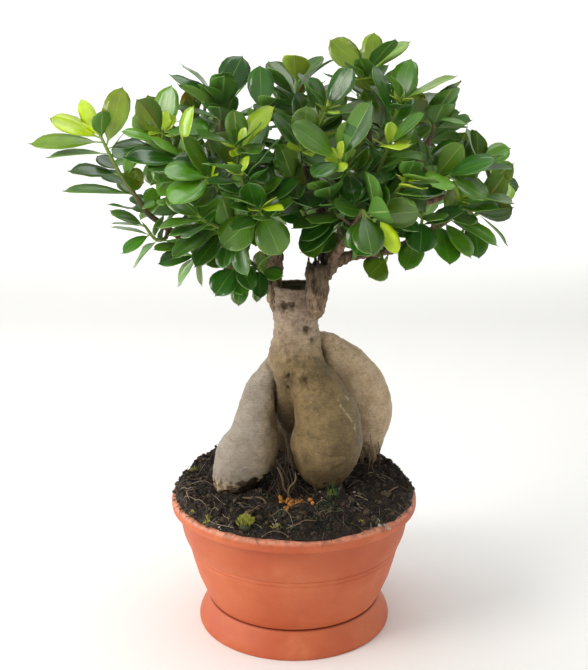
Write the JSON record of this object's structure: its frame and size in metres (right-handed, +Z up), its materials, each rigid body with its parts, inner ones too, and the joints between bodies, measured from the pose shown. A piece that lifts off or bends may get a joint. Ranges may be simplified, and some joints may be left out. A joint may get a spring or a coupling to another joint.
{
  "type": "potted ginseng ficus bonsai",
  "caption": "Small grafted fig tree on swollen bottle-like roots, with a wide crown of glossy leaves, in peat in a plain terracotta bowl on a saucer.",
  "frame": {"origin": "on the floor under the middle of the bowl and of its saucer, which is the middle of the whole part seen from above to within 2 mm", "axes": "+Z up; -Y is the front, with the big front root and the graft; +X is to the right seen from the front, where the long low branch goes"},
  "size_m": [0.3672, 0.2553, 0.4718],
  "materials": {
    "terracotta": "matte",
    "peat": "matte",
    "bark": "matte",
    "young_bark": "matte",
    "leaf": "gloss"
  },
  "bodies": {
    "root": {"saucer": "terracotta", "bowl": "terracotta", "peat": "peat", "rootstock": "bark", "scion_left": "young_bark", "scion_right": "young_bark", "twig_left_tip": "leaf", "twig_left_low": "leaf", "twig_left_under": "leaf", "twig_low_cluster": "leaf", "twig_low_inner": "leaf", "twig_left_shoulder": "leaf", "twig_left_back": "leaf", "twig_left_wing": "leaf", "twig_left_heart": "leaf", "twig_left_top": "leaf", "twig_left_ridge": "leaf", "twig_left_face": "leaf", "twig_left_crest": "leaf", "twig_left_chest": "leaf", "twig_left_rear": "leaf", "twig_left_rear_top": "leaf", "twig_left_rear_low": "leaf", "twig_left_rear_side": "leaf", "twig_front_left": "leaf", "twig_front_left_side": "leaf", "twig_front_left_high": "leaf", "twig_middle_top": "leaf", "twig_middle_face": "leaf", "twig_middle_heart": "leaf", "twig_middle_low": "leaf", "twig_middle_rear": "leaf", "twig_middle_ridge": "leaf", "twig_crown_top": "leaf", "twig_crown_right": "leaf", "twig_crown_rear": "leaf", "twig_crown_face": "leaf", "twig_crown_heart": "leaf", "twig_right_core": "leaf", "twig_right_mid": "leaf", "twig_right_shoulder": "leaf", "twig_right_rear_top": "leaf", "twig_right_wing": "leaf", "twig_right_tip": "leaf", "twig_right_high": "leaf", "twig_right_rear": "leaf", "twig_right_low": "leaf", "twig_right_face": "leaf", "twig_round_leaf": "leaf", "twig_right_inner": "leaf", "twig_front_right": "leaf", "twig_front_right_high": "leaf", "twig_front_middle": "leaf", "twig_rear_middle": "leaf", "twig_rear_top": "leaf", "twig_rear_low": "leaf", "twig_rear_corner": "leaf", "twig_rear_corner_top": "leaf"}
  },
  "joints": []
}
